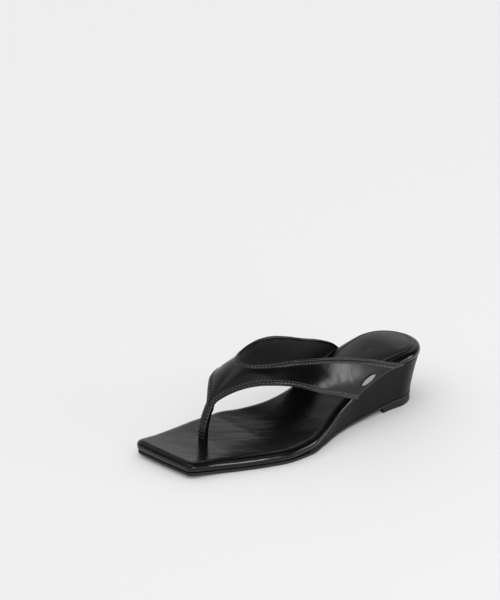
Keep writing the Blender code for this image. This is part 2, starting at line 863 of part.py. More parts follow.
def build():
    for piece in list(bpy.data.objects):
        bpy.data.objects.remove(piece, do_unlink=True)
    sandal = bpy.data.collections.new("wedge_thong_sandal")
    cutters = bpy.data.collections.new("cutters")
    bpy.context.scene.collection.children.link(sandal)
    bpy.context.scene.collection.children.link(cutters)
    rubber = material("outsole_rubber", (0.012, 0.012, 0.013), 0.65)
    lift_rubber = material("lift_rubber", (0.010, 0.010, 0.011), 0.60)
    wedge_leather = material("wedge_leather", (0.014, 0.014, 0.015), 0.38)
    footbed_leather = material("footbed_leather", (0.010, 0.010, 0.011), 0.22)
    place(make_outsole(), sandal, rubber)
    place(make_heel_lift(), sandal, lift_rubber)
    strap_leather = material("strap_leather", (0.009, 0.009, 0.010), 0.20)
    pad_leather = material("pad_leather", (0.020, 0.020, 0.021), 0.42)
    badge_metal = material("badge_metal", (0.560, 0.550, 0.530), 0.35, 1.0)
    place(make_wedge(), sandal, wedge_leather)
    footbed = place(make_footbed(), sandal, footbed_leather)
    cut(footbed, place(make_post_slot(), cutters))
    for side, seat in ((1, OUTER_SEAT), (-1, INNER_SEAT)):
        cut(footbed, place(make_pocket(side, seat), cutters))
    place(make_heel_pad(), sandal, pad_leather)
    upper_mesh, post_places = make_upper()
    upper = place(upper_mesh, sandal, strap_leather)
    thicken_upper(upper, post_places)
    place(make_badge(), sandal, badge_metal)


build()
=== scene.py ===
import math

import bmesh
import bpy
from mathutils import Matrix, Vector
from mathutils.bvhtree import BVHTree


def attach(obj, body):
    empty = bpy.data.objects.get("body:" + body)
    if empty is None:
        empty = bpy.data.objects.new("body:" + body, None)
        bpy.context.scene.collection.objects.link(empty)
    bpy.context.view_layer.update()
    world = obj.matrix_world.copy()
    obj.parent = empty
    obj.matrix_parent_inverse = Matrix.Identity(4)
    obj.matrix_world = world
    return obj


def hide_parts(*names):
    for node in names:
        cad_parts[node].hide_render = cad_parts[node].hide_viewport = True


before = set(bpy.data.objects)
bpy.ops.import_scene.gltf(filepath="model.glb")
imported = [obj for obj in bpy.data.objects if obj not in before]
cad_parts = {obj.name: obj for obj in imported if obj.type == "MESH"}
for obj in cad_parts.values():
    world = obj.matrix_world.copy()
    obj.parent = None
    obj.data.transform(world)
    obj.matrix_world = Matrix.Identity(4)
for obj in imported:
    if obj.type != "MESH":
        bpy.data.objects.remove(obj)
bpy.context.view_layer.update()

mm = 0.001

# The sandal's own sizes in metres. The toe points along -Y and the outer side is +X.
sole = {
    "length": 0.2500, "ballWidth": 0.0955, "heelWidth": 0.0585, "heelHeight": 0.0455,
    "footbed": 0.0080, "outsole": 0.0026, "toeSpring": 0.0030, "lift": 0.0055,
    "heelSlant": 0.0070, "heelTaper": 0.0035, "heelMiddle": -0.155,
    "outerCorner": 0.0060, "innerCorner": 0.0090, "toeBow": 0.0008, "gap": 0.0003,
    # plan: share of the length, share of half the ball width
    "outerSide": ((-0.484, 0.495), (-0.400, 0.604), (-0.320, 0.759), (-0.240, 0.908), (-0.160, 1.000),
                  (-0.080, 0.970), (0.000, 0.815), (0.080, 0.640), (0.180, 0.510), (0.280, 0.469)),
    "innerSide": ((-0.503, -0.830), (-0.400, -0.896), (-0.320, -0.954), (-0.240, -0.996), (-0.160, -1.000),
                  (-0.080, -0.840), (0.000, -0.700), (0.080, -0.647), (0.180, -0.679), (0.280, -0.745)),
    # heights: share of the length, share of the size they belong to
    "rise": ((-0.180, 0.000), (-0.100, 0.030), (0.000, 0.140), (0.100, 0.350), (0.200, 0.610),
             (0.300, 0.845), (0.400, 0.975), (0.500, 1.010)),
    "body": ((-0.080, 1.000), (0.050, 0.840), (0.136, 0.740), (0.200, 0.640), (0.300, 0.660),
             (0.360, 0.820), (0.430, 1.000)),
    "spring": ((-0.500, 1.000), (-0.450, 0.550), (-0.400, 0.220), (-0.320, 0.000)),
    "arch": ((-0.060, 0.000), (0.000, 0.100), (0.100, 0.250), (0.200, 0.430), (0.300, 0.680),
             (0.400, 0.900), (0.460, 1.000)),
    "liftFront": 0.305, "liftBow": 0.0050, "sideSteps": 110, "endSteps": 36, "cornerSteps": 8, "heelSteps": 14,
    # shares of the length where the heel starts to narrow and to slant, share of a rounded edge at its middle ring
    "leanFrom": 0.15, "slantFrom": 0.20, "roll": 0.3,
}


def smooth(table, x):  # soft curve through the rows of a table
    rows = list(table)
    if x <= rows[0][0]:
        return rows[0][1]
    if x >= rows[-1][0]:
        return rows[-1][1]
    slopes = []
    for i in range(len(rows)):
        steps = [(b[1] - a[1]) / (b[0] - a[0]) for a, b in zip(rows[max(i - 1, 0):i + 2], rows[max(i, 1):i + 2])]
        if len(steps) == 1 or i in (0, len(rows) - 1):
            slopes.append(steps[0] if i == 0 else steps[-1])
        else:
            a, b = steps
            slopes.append(0.0 if a * b <= 0.0 else 2.0 * a * b / (a + b))
    i = next(k for k in range(len(rows) - 1) if x <= rows[k + 1][0])
    span = rows[i + 1][0] - rows[i][0]
    t = (x - rows[i][0]) / span
    return (rows[i][1] * (1 + 2 * t) * (1 - t) ** 2 + slopes[i] * span * t * (1 - t) ** 2
            + rows[i + 1][1] * t * t * (3 - 2 * t) + slopes[i + 1] * span * t * t * (t - 1))


def ease(x, start, end):  # soft step from 0 to 1
    t = min(max((x - start) / (end - start), 0.0), 1.0)
    return t * t * (3 - 2 * t)


halfBall = sole["ballWidth"] / 2
heelRadius = sole["heelWidth"] / 2
heelCentre = Vector((sole["heelMiddle"] * halfBall, sole["length"] / 2 - heelRadius))


def sideX(side, y):  # side is 1 for the outer side, -1 for the inner
    if y > heelCentre.y:
        return heelCentre.x + side * math.sqrt(max(heelRadius ** 2 - (y - heelCentre.y) ** 2, 0.0))
    table = sole["outerSide"] if side > 0 else sole["innerSide"]
    rows = list(table) + [(heelCentre.y / sole["length"], (heelCentre.x + side * heelRadius) / halfBall)]
    return smooth(rows, y / sole["length"]) * halfBall


def soleBottom(y):
    share = y / sole["length"]
    return sole["toeSpring"] * smooth(sole["spring"], share) + sole["lift"] * smooth(sole["arch"], share)


def footbedTop(y):
    share = y / sole["length"]
    stack = sole["outsole"] + sole["footbed"]
    spring = sole["toeSpring"] * smooth(sole["spring"], share)
    return spring + stack + (sole["heelHeight"] - stack) * smooth(sole["rise"], share)


def footbedBottom(y):
    return footbedTop(y) - sole["footbed"] * smooth(sole["body"], y / sole["length"])


def roundCorner(corner, alongSide, alongToe, radius, steps):  # arc from the side to the toe edge
    half = alongSide.angle(alongToe) / 2
    middle = corner + (alongSide + alongToe).normalized() * (radius / math.sin(half))
    start = corner + alongSide * (radius / math.tan(half)) - middle
    end = corner + alongToe * (radius / math.tan(half)) - middle
    sweep = -start.angle_signed(end)
    return [middle + Matrix.Rotation(sweep * i / steps, 2) @ start for i in range(steps + 1)]


def toeEdge():  # toe edge between the middles of its corners, and the rest of each corner
    tips, arcs, steps = {}, {}, sole["cornerSteps"]
    for side, table in ((1, sole["outerSide"]), (-1, sole["innerSide"])):
        y = table[0][0] * sole["length"]
        tips[side] = Vector((sideX(side, y), y))
    for side, radius in ((1, sole["outerCorner"]), (-1, sole["innerCorner"])):
        y = tips[side].y + radius * 2
        alongSide = (Vector((sideX(side, y), y)) - tips[side]).normalized()
        alongToe = (tips[-side] - tips[side]).normalized()
        arcs[side] = roundCorner(tips[side], alongSide, alongToe, radius, 2 * steps)
    start, end = arcs[-1][-1], arcs[1][-1]
    count = sole["endSteps"] - 2 * steps
    bow = Vector((end.y - start.y, start.x - end.x)).normalized() * sole["toeBow"]
    middle = [start.lerp(end, i / count) + bow * 4 * (i / count) * (1 - i / count) for i in range(1, count)]
    toe = arcs[-1][steps:] + middle + list(reversed(arcs[1][steps:]))
    return toe, arcs[1][:steps + 1], arcs[-1][:steps + 1]


def soleOutline(front=None, bow=0.0):  # toe or front edge, outer side, heel, inner side
    ends, sides, turns = sole["endSteps"], sole["sideSteps"], sole["heelSteps"]
    if front is None:
        toe, outerCorner, innerCorner = toeEdge()
    else:
        outerCorner, innerCorner = [Vector((sideX(1, front), front))], [Vector((sideX(-1, front), front))]
        toe = [innerCorner[0].lerp(outerCorner[0], i / ends) + Vector((0, bow * 4 * (i / ends) * (1 - i / ends)))
               for i in range(ends + 1)]
    runs = []
    for side, corner in ((1, outerCorner), (-1, innerCorner)):
        run = list(reversed(corner))
        start, count = run[-1].y, sides - len(corner) + 1 - turns
        for i in range(1, count + 1):
            y = start + (heelCentre.y - start) * i / count
            run.append(Vector((sideX(side, y), y)))
        for i in range(1, turns + 1):
            turn = math.radians(45) * i / turns
            run.append(heelCentre + heelRadius * Vector((side * math.cos(turn), math.sin(turn))))
        runs.append(run)
    heel = []
    for i in range(ends + 1):
        turn = math.radians(45 + 90 * i / ends)
        heel.append(heelCentre + heelRadius * Vector((math.cos(turn), math.sin(turn))))
    return toe, runs[0], heel, list(reversed(runs[1]))


def slanted(point, share):  # plan point under the heel, which leans in towards the floor
    lean = ease(point.y, sole["leanFrom"] * sole["length"], heelCentre.y)
    narrow = 1 - share * lean * 2 * sole["heelTaper"] / sole["heelWidth"]
    back = ease(point.y, sole["slantFrom"] * sole["length"], sole["length"] / 2)
    return Vector((heelCentre.x + (point.x - heelCentre.x) * narrow, point.y - share * sole["heelSlant"] * back))


def inset(loop, depth):  # outline moved inwards, its corners kept sharp
    moved = []
    for i, point in enumerate(loop):
        before, after = (point - loop[i - 1]).normalized(), (loop[(i + 1) % len(loop)] - point).normalized()
        way = before + after
        moved.append(point + Vector((-way.y, way.x)) * depth / max(1 + before.dot(after), 0.5))
    return moved


def mappedGrid(mesh, columns, rows, place):  # a flat grid whose points are laid on the shape
    for vert in bmesh.ops.create_grid(mesh, x_segments=columns, y_segments=rows, size=0.5)["verts"]:
        vert.co = place(round((vert.co.x + 0.5) * columns), round((vert.co.y + 0.5) * rows))


def runLengths(line):  # length so far at each point of a line
    lengths = [0.0]
    for a, b in zip(line, line[1:]):
        lengths.append(lengths[-1] + (b - a).length)
    return lengths


def piece(name, mesh, *finishes):  # the finished mesh as an object riding on the body
    data = bpy.data.meshes.new(name)
    mesh.to_mesh(data)
    mesh.free()
    thing = bpy.data.objects.new(name, data)
    bpy.context.scene.collection.objects.link(thing)
    for finish in finishes:
        data.materials.append(finish)
    data.shade_smooth()
    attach(thing, "root")
    return thing


def soleBlock(name, node, outline, rings, finish, sharp):
    # walls from rings, lowest first: depth in from the outline, lean share, height at y; then a cap at each end
    loop = [point for run in outline for point in run[:-1]]
    count = len(loop)
    plans = [[slanted(point, lean) for point in inset(loop, depth)] for depth, lean, height in rings]
    mesh = bmesh.new()

    def onWall(column, row):
        point = plans[row][column % count]
        return point.x, point.y, rings[row][2](point.y)

    mappedGrid(mesh, count, len(rings) - 1, onWall)
    ends, sides = len(outline[0]) - 1, len(outline[1]) - 1
    for ring in (0, len(rings) - 1):
        plan = plans[ring]
        toe, outer = plan[:ends + 1], plan[ends:ends + sides + 1]
        heel = list(reversed(plan[ends + sides:2 * ends + sides + 1]))
        inner = list(reversed(plan[2 * ends + sides:] + plan[:1]))

        def onCap(column, row):
            u, v = column / ends, row / sides
            point = (inner[row].lerp(outer[row], u) + toe[column].lerp(heel[column], v)
                     - toe[0].lerp(toe[-1], u).lerp(heel[0].lerp(heel[-1], u), v))
            return point.x, point.y, rings[ring][2](point.y)

        mappedGrid(mesh, ends, sides, onCap)
    bmesh.ops.remove_doubles(mesh, verts=mesh.verts, dist=0.004 * mm)
    bmesh.ops.recalc_face_normals(mesh, faces=mesh.faces)
    block = piece(name, mesh, finish)
    block.data.set_sharp_from_angle(angle=math.radians(sharp))
    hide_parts(node)
    return block


# Materials. Each is named for what it is made of, save that the badge rim's dark is painted shade.

def linear(hexColour):  # sRGB hex to the linear values that shaders take
    parts = [int(hexColour[i:i + 2], 16) / 255 for i in (1, 3, 5)]
    return tuple(c / 12.92 if c <= 0.04045 else ((c + 0.055) / 1.055) ** 2.4 for c in parts) + (1.0,)


def addNode(tree, kind, settings=None, links=None):
    # settings go to the node or its inputs, links give an output for an input
    node = tree.nodes.new(kind)
    for key, value in (settings or {}).items():
        if isinstance(key, str) and hasattr(node, key):
            setattr(node, key, value)
        else:
            node.inputs[key].default_value = value
    for key, output in (links or {}).items():
        tree.links.new(output, node.inputs[key])
    return node


def newMaterial(name, colour, roughness, *layers, **sockets):
    # layers of noise, the deepest first: grain width, turn about Z in degrees, stretch, depth and strength as a
    # bump, and reach, the range that it gives the roughness or the mix of two colours
    made = bpy.data.materials.new(name)
    made.use_nodes = True
    tree = made.node_tree
    shader = tree.nodes["Principled BSDF"]
    shader.inputs["Base Color"].default_value = linear(colour)
    shader.inputs["Roughness"].default_value = roughness
    for key, value in sockets.items():
        shader.inputs[key.replace("_", " ")].default_value = value
    relief = None
    for layer in layers:
        layer = {"turn": 0, "stretch": (1, 1, 1), "source": "Object", "detail": 3.0, "rough": 0.6, "distortion": 0.0,
                 "strength": 0.6, **layer}
        coords = addNode(tree, "ShaderNodeTexCoord").outputs[layer["source"]]
        turned = {"vector_type": "TEXTURE", "Rotation": (0, 0, math.radians(layer["turn"])), "Scale": layer["stretch"]}
        mapping = addNode(tree, "ShaderNodeMapping", turned, {"Vector": coords})
        grain = {"Scale": 1 / layer["grain"], "Detail": layer["detail"], "Roughness": layer["rough"],
                 "Distortion": layer["distortion"]}
        noise = addNode(tree, "ShaderNodeTexNoise", grain, {"Vector": mapping.outputs["Vector"]}).outputs["Fac"]
        if "reach" in layer:  # the noise's middle range, spread over the reach
            low, high = layer["reach"]
            spread = {"From Min": 0.3, "From Max": 0.7, "To Min": low, "To Max": high}
            driver = addNode(tree, "ShaderNodeMapRange", spread, {"Value": noise}).outputs["Result"]
            if "colours" in layer:
                first, second = (linear(hexColour) for hexColour in layer["colours"])
                mixed = addNode(tree, "ShaderNodeMix", {"data_type": "RGBA", 6: first, 7: second}, {0: driver})
                tree.links.new(mixed.outputs[2], shader.inputs["Base Color"])
            else:
                tree.links.new(driver, shader.inputs["Roughness"])
        if "depth" in layer:
            links = {"Height": noise, "Normal": relief} if relief else {"Height": noise}
            bump = {"Distance": layer["depth"], "Strength": layer["strength"]}
            relief = addNode(tree, "ShaderNodeBump", bump, links).outputs["Normal"]
    if relief:
        tree.links.new(relief, shader.inputs["Normal"])
    return made


# Full-grain cowhide with a glossy pressed finish: near black, tight broad highlights, fine crinkles across
pores = {"grain": 0.5 * mm, "detail": 2.0, "depth": 0.02 * mm, "strength": 0.5}
footbedLeather = newMaterial(
    "glossy_cowhide_footbed", "#050506", 0.22,
    {"grain": 16 * mm, "turn": 50, "stretch": (2.5, 1, 1), "detail": 2.0, "rough": 0.5,
     "depth": 0.5 * mm, "strength": 0.8, "reach": (0.16, 0.25)},
    {"grain": 2.4 * mm, "turn": 50, "stretch": (3.5, 1, 1), "rough": 0.55, "distortion": 0.8,
     "depth": 0.18 * mm},
    pores, IOR=1.38, Coat_Weight=0.10, Coat_Roughness=0.12)

# The same hide on the strap, worked softer: its crinkles run across the bands
strapLeather = newMaterial(
    "glossy_cowhide_strap", "#060607", 0.24,
    {"grain": 9 * mm, "stretch": (1, 2.5, 1), "detail": 2.0, "rough": 0.5, "source": "UV",
     "depth": 0.35 * mm, "strength": 0.8, "reach": (0.23, 0.31)},
    {"grain": 1.4 * mm, "stretch": (1, 4, 1), "detail": 4.0, "source": "UV", "distortion": 0.5,
     "depth": 0.07 * mm},
    pores, IOR=1.37, Coat_Weight=0.10, Coat_Roughness=0.14)

# Folded edge of the same hide, too narrow for crinkles: pores only, drawn a little coarse so that they show
edgeLeather = newMaterial(
    "glossy_cowhide_folded_edge", "#050505", 0.24,
    {"grain": 0.6 * mm, "depth": 0.05 * mm},
    IOR=1.50, Coat_Weight=0.10, Coat_Roughness=0.15)

# Pigskin lining: dull, pebbled, with paler specks painted into its colour, painted highlights for pores that catch
# light
liningSkin = newMaterial(
    "pigskin_lining", "#1A1A1B", 0.45,
    {"grain": 0.9 * mm, "detail": 4.0, "rough": 0.7, "depth": 0.18 * mm, "strength": 0.9},
    # the paler of these two colours gives the painted highlight specks
    {"grain": 0.45 * mm, "detail": 1.0, "rough": 0.5, "colours": ("#0E0E0F", "#48484B"), "reach": (-0.3, 1.0)},
    IOR=1.50)

# Sheepskin pad cover: soft, half dull, hardly any grain
padLeather = newMaterial(
    "soft_sheepskin_pad", "#09090A", 0.32,
    {"grain": 0.8 * mm, "depth": 0.04 * mm},
    {"grain": 12 * mm, "detail": 2.0, "rough": 0.5, "reach": (0.31, 0.38)}, IOR=1.60)

# Corrected-grain leather stretched over the wedge: satin and smooth
wedgeLeather = newMaterial(
    "satin_leather_wedge", "#040405", 0.36,
    {"grain": 22 * mm, "detail": 2.0, "rough": 0.5, "depth": 0.3 * mm, "strength": 0.5, "reach": (0.34, 0.42)},
    {"grain": 0.7 * mm, "depth": 0.04 * mm}, IOR=1.27)

# Sheet rubber of the outsole, cut and buffed: dull with a fine rough edge
soleRubber = newMaterial(
    "buffed_sheet_rubber", "#141415", 0.62,
    {"grain": 0.8 * mm, "stretch": (1, 1, 3), "detail": 4.0, "rough": 0.65,
     "depth": 0.12 * mm, "strength": 0.8, "reach": (0.52, 0.72)}, IOR=1.50)

# Moulded rubber of the heel lift: half dull, with the mould's faint texture
liftRubber = newMaterial(
    "moulded_rubber_lift", "#121213", 0.50,
    {"grain": 0.7 * mm, "depth": 0.06 * mm}, IOR=1.40)

# Waxed polyester thread: dark grey, drawn a paler grey as painted highlight so that each stitch shows a bright dash;
# it catches light along each stitch; a wave scale of 900 is a twist of 0.7 mm
thread = newMaterial("waxed_thread", "#6A6A6C", 0.34, IOR=1.50)
tree = thread.node_tree
twist = addNode(tree, "ShaderNodeTexWave", {"Scale": 900.0, "Distortion": 1.0, "bands_direction": "DIAGONAL"},
                {"Vector": addNode(tree, "ShaderNodeTexCoord").outputs["Object"]})
twistBump = addNode(tree, "ShaderNodeBump", {"Distance": 0.04 * mm, "Strength": 0.5}, {"Height": twist.outputs["Fac"]})
tree.links.new(twistBump.outputs["Normal"], tree.nodes["Principled BSDF"].inputs["Normal"])

# Brushed nickel silver of the badge: a soft shine with fine lines along it
badgeMetal = newMaterial(
    "brushed_nickel_silver", "#9A9894", 0.36,
    {"grain": 0.18 * mm, "stretch": (1, 14, 14), "source": "UV",
     "depth": 0.02 * mm, "strength": 0.7}, Metallic=1.0)

# Rim and sides of the badge: painted dark, a painted shade for the gap round the plate; worn to an uneven gloss
paintedShadeRim = newMaterial(
    "rim_painted_as_shade", "#3A3938", 0.35,
    {"grain": 0.8 * mm, "detail": 2.0, "rough": 0.5, "reach": (0.28, 0.42)}, Metallic=1.0)
print("materials made")


# Sole: the four blocks of the CAD with finer rounding
def footbedLevel(share, drop=0.0):
    return lambda y: footbedTop(y) - (footbedTop(y) - footbedBottom(y)) * share - drop


footbed = {"tuck": 1.2 * mm, "lowEdge": 0.7 * mm,
           # where the side band bends under: share of the tuck, share of the thickness
           "bend": (0.25, 0.80),
           # shoulder, from the side band to the flat top: depth and drop in mm
           "shoulder": ((0.00, 3.90), (0.11, 3.35), (0.26, 2.79), (0.47, 2.26), (0.70, 1.88), (1.02, 1.51),
                        (1.46, 1.15), (2.02, 0.81), (2.75, 0.50), (3.62, 0.25), (4.66, 0.08), (5.80, 0.00))}
low, roll = footbed["lowEdge"], sole["roll"]
rings = [(footbed["tuck"] + low, 0.0, footbedLevel(1.0)),
         (footbed["tuck"] + roll * low, 0.0, footbedLevel(1.0, -roll * low)),
         (footbed["tuck"], 0.0, footbedLevel(1.0, -low)),
         (footbed["bend"][0] * footbed["tuck"], 0.0, footbedLevel(footbed["bend"][1]))]
rings += [(deep * mm, 0.0, footbedLevel(0.0, drop * mm)) for deep, drop in footbed["shoulder"]]
footbedPiece = soleBlock("footbed_cover", "footbed", soleOutline(), rings, footbedLeather, 60)

outsole = {"inset": 1.0 * mm, "edge": 0.5 * mm, "flare": 0.1 * mm, "lip": 0.2 * mm}
rings = [(outsole["inset"] + outsole["edge"], 1.0, soleBottom),
         (outsole["inset"] + roll * outsole["edge"], 1.0, lambda y: soleBottom(y) + roll * outsole["edge"]),
         (outsole["inset"], 1.0, lambda y: soleBottom(y) + outsole["edge"]),
         (outsole["inset"] - outsole["flare"], 1.0, lambda y: soleBottom(y) + sole["outsole"] - outsole["edge"]),
         (outsole["inset"] + outsole["flare"], 1.0, lambda y: soleBottom(y) + sole["outsole"] - outsole["lip"])]
outsolePiece = soleBlock("outsole_sheet", "outsole", soleOutline(), rings, soleRubber, 50)

lift = {"inset": 1.2 * mm, "edge": 0.5 * mm, "under": 0.15 * mm}
rings = [(lift["inset"] + lift["edge"], 1.0, lambda y: 0.0),
         (lift["inset"] + roll * lift["edge"], 1.0, lambda y: roll * lift["edge"]),
         (lift["inset"], 1.0, lambda y: lift["edge"]),
         (lift["inset"], 1.0, lambda y: soleBottom(y) - lift["under"])]
liftOutline = soleOutline(sole["liftFront"] * sole["length"], sole["liftBow"])
liftPiece = soleBlock("heel_lift_block", "heel_lift", liftOutline, rings, liftRubber, 50)

wedge = {"tuck": 1.1 * mm, "feather": 0.8 * mm, "steps": 15, "hollow": 0.5 * mm,
         # hidden ends: depth past the tuck, and reach into the blocks below and above
         "foot": 0.4 * mm, "head": 0.8 * mm, "intoOutsole": 0.15 * mm, "intoFootbed": (0.05 * mm, 0.3 * mm)}
wedge["front"] = next(y * mm for y in range(-60, 60)
                      if footbedBottom(y * mm) - sole["gap"] - soleBottom(y * mm) - sole["outsole"] > wedge["feather"])


def wedgeLevel(share):
    return lambda y: ((footbedBottom(y) + wedge["intoFootbed"][0]) * (1 - share)
                      + (soleBottom(y) + sole["outsole"] - wedge["intoOutsole"]) * share)


rings = [(wedge["tuck"] + wedge["foot"], 1.0, wedgeLevel(1.0))]
for i in reversed(range(wedge["steps"])):
    share = i / wedge["steps"]
    rings.append((wedge["tuck"] + wedge["hollow"] * 4 * share * (1 - share), share, wedgeLevel(share)))
rings.append((wedge["tuck"] + wedge["head"], 0.0, lambda y: footbedBottom(y) + wedge["intoFootbed"][1]))
wedgePiece = soleBlock("wedge_cover", "wedge", soleOutline(wedge["front"]), rings, wedgeLeather, 50)
print("sole made")


# Strap: post, panel and two bands in one wall, with a folded double-stitched edge
strap = {
    "instep": 0.0524, "wall": 1.6 * mm, "postWidth": 7.0 * mm, "postDepth": 3.4 * mm, "thinning": 7 * mm,
    "thinsAbove": 0.42, "crown": 0.085, "flatter": 0.50, "tilt": 0.012, "curl": 2.2 * mm, "curlHeight": 3.6 * mm,
    "rowSteps": 8, "columns": 26,
    # smoothing where the halves meet: passes, reach from the ridge, share of the instep, share of the length
    "passes": 24, "ridgeReach": 16 * mm, "smoothAbove": 0.45, "smoothBefore": -0.10,
    "ridge": ((-0.330, -0.227), (-0.170, -0.280), (0.500, -0.280)),
    # share of the length, share of the instep height
    "post": ((-0.328, 0.000), (-0.325, 0.180), (-0.317, 0.310), (-0.302, 0.456)),
    # ridge along and up, then the front edge's along, out and up
    "outerPanel": ((-0.280, 0.609, -0.287, 0.085, 0.550), (-0.262, 0.690, -0.271, 0.135, 0.617),
                   (-0.238, 0.780, -0.250, 0.222, 0.700), (-0.208, 0.885, -0.222, 0.345, 0.785),
                   (-0.170, 1.000, -0.190, 0.466, 0.840)),
    "innerPanel": ((-0.280, 0.609, -0.291, 0.120, 0.508), (-0.262, 0.690, -0.276, 0.215, 0.582),
                   (-0.238, 0.780, -0.257, 0.345, 0.648), (-0.208, 0.885, -0.225, 0.550, 0.705),
                   (-0.170, 1.000, -0.186, 0.710, 0.712)),
    # throat along, out and up, then the front edge's along, out and up
    "outerBand": ((-0.165, 0.149, 1.002, -0.160, 0.554, 0.841), (-0.148, 0.249, 1.012, -0.125, 0.631, 0.814),
                  (-0.116, 0.356, 1.025, -0.085, 0.697, 0.745), (-0.059, 0.470, 1.007, -0.037, 0.783, 0.610),
                  (0.007, 0.608, 0.924, 0.010, 0.850, 0.455), (0.083, 0.748, 0.752, 0.060, 0.905, 0.290),
                  (0.148, 0.850, 0.565, 0.115, 0.960, 0.080)),
    "innerBand": ((-0.163, 0.125, 1.018, -0.148, 0.815, 0.675), (-0.145, 0.252, 1.040, -0.110, 0.909, 0.605),
                  (-0.115, 0.390, 1.050, -0.070, 1.005, 0.530), (-0.076, 0.577, 1.045, -0.030, 1.080, 0.445),
                  (-0.030, 0.815, 1.005, 0.020, 1.120, 0.320), (0.025, 1.000, 0.920, 0.065, 1.100, 0.180),
                  (0.085, 1.110, 0.750, 0.103, 1.045, 0.010)),
    # throat along, out and up, then the seat's along
    "outerSeat": ((0.200, 0.920, 0.400, 0.166), (0.252, 0.968, 0.235, 0.228), (0.302, 0.992, 0.070, 0.285),
                  (0.342, 1.000, -0.032, 0.332), (0.369, 1.000, -0.098, 0.369)),
    "innerSeat": ((0.150, 1.130, 0.525, 0.132), (0.205, 1.090, 0.345, 0.180), (0.250, 1.045, 0.180, 0.225),
                  (0.280, 1.015, 0.060, 0.265), (0.303, 1.000, -0.060, 0.303)),
    # soft troughs: side, rows past the throat's front, share across, length and width in mm, depth in mm, lean;
    # a row of the band tables is taken as 12 mm
    "rowPitch": 12,
    "creases": (
        (1, 5.6, 0.40, 15, 3.4, 0.14, 0.3), (1, 6.4, 0.55, 18, 2.8, 0.16, 0.2), (1, 7.1, 0.45, 15, 3.0, 0.14, 0.35),
        (1, 4.4, 0.55, 10, 3.4, 0.10, 0.1), (-1, 4.6, 0.45, 14, 3.0, 0.16, 0.2), (-1, 5.8, 0.50, 16, 2.8, 0.16, 0.3),
        (-1, 7.2, 0.45, 12, 2.6, 0.14, 0.3)),
}


def seatX(side, y):  # face of a band where it hugs the footbed
    return sideX(side, y) + side * (sole["gap"] + strap["wall"])


def seatPoint(side, along):
    y = along * sole["length"]
    return Vector((seatX(side, y), y, footbedBottom(y)))


def formPoint(side, along, out, up):  # out runs from the ridge to the footbed's side
    y = along * sole["length"]
    ridge = smooth(strap["ridge"], along) * halfBall
    return Vector((ridge + (seatX(side, y) - ridge) * out, y, footbedTop(y) + up * strap["instep"]))


def spline(points, steps):  # Catmull-Rom curve through points
    line, last = [], len(points) - 1
    for i in range(last):
        a, b = points[i], points[i + 1]
        before = points[i - 1] if i > 0 else a * 2 - b
        after = points[i + 2] if i + 2 <= last else b * 2 - a
        for k in range(steps):
            t = k / steps
            line.append((a * 2 + (b - before) * t + (before * 2 - a * 5 + b * 4 - after) * t ** 2
                         + (a * 3 - b * 3 + after - before) * t ** 3) / 2)
    return line + [points[-1].copy()]


def strapLines():  # ridge, throat of each side, front edge of each side, whole throat
    steps = strap["rowSteps"]
    foot = formPoint(1, strap["post"][0][0], 0.0, 0.0)
    foot.z = soleBottom(foot.y) + sole["outsole"] + sole["gap"]
    ridge = [foot] + [formPoint(1, along, 0.0, up) for along, up in strap["post"]]
    ridge += [formPoint(1, row[0], 0.0, row[1]) for row in strap["outerPanel"]]
    throat, front = {}, {}
    for side, word in ((1, "outer"), (-1, "inner")):
        panel, band, seat = strap[word + "Panel"], strap[word + "Band"], strap[word + "Seat"]
        edge = [point + Vector((side * strap["postWidth"] / 2, 0, 0)) for point in ridge[:len(strap["post"]) + 1]]
        edge += [formPoint(side, *row[2:]) for row in panel] + [formPoint(side, *row[3:]) for row in band]
        edge = spline(edge + [seatPoint(side, seat[0][3])], steps)
        for first, second in zip(seat, seat[1:]):
            edge += [seatPoint(side, first[3] + (second[3] - first[3]) * k / steps) for k in range(1, steps + 1)]
        front[side] = edge
        throat[side] = [formPoint(side, *row[:3]) for row in band + seat]
    whole = spline(list(reversed(throat[-1])) + [ridge[-1]] + throat[1], steps)
    middle = len(throat[-1]) * steps
    return spline(ridge, steps), {1: whole[middle:], -1: list(reversed(whole[:middle + 1]))}, front, whole


ridgeLine, throatLines, frontLines, throatWhole = strapLines()
firstRow = len(ridgeLine) - 1
strapRows = {side: list(zip(ridgeLine[:-1] + throatLines[side], frontLines[side])) for side in (1, -1)}


def rowOutward(side, rows, i):
    low, high = rows[max(i - 2, 0)], rows[min(i + 2, len(rows) - 1)]
    along = (high[0] + high[1]) - (low[0] + low[1])
    return side * along.cross(rows[i][0] - rows[i][1]).normalized()


def strapPlace(side, rows, i, share):  # place on the strap's face, a share of the way to its front edge
    inner, outer = rows[i]
    steps = strap["rowSteps"]
    crown = strap["crown"] * ease(i, steps * 2, (len(strap["post"]) + 1) * steps)
    band = ease(i, firstRow + 3 * steps, firstRow + 5 * steps)
    crown *= 1 - strap["flatter"] * band
    outward = rowOutward(side, rows, i)
    swell = 4 * crown * share * (1 - share) - strap["tilt"] * band * math.sin(2 * math.pi * share)
    point = inner.lerp(outer, share) + outward * (swell * (outer - inner).length)
    seatRow = len(rows) - 1 - (len(strap["outerSeat"]) - 1) * steps
    if i > seatRow - steps:
        over = (point.z - footbedBottom(point.y)) / strap["curlHeight"]
        point.x -= side * strap["curl"] * ease(i, seatRow - steps, seatRow) * max(1 - max(over, 0.0), 0.0) ** 2
    for which, row, across, long, wide, deep, lean in strap["creases"]:
        if which == side:
            width = (outer - inner).length
            away = (share - across) * width
            past = (i - firstRow - row * steps) / steps * strap["rowPitch"] * mm - away * lean
            reach = (away / (long * mm / 2)) ** 2
            if reach < 1:
                point -= outward * (deep * mm * (1 - reach) ** 2 * math.exp(-(past / (wide * mm / 2)) ** 2))
    return point


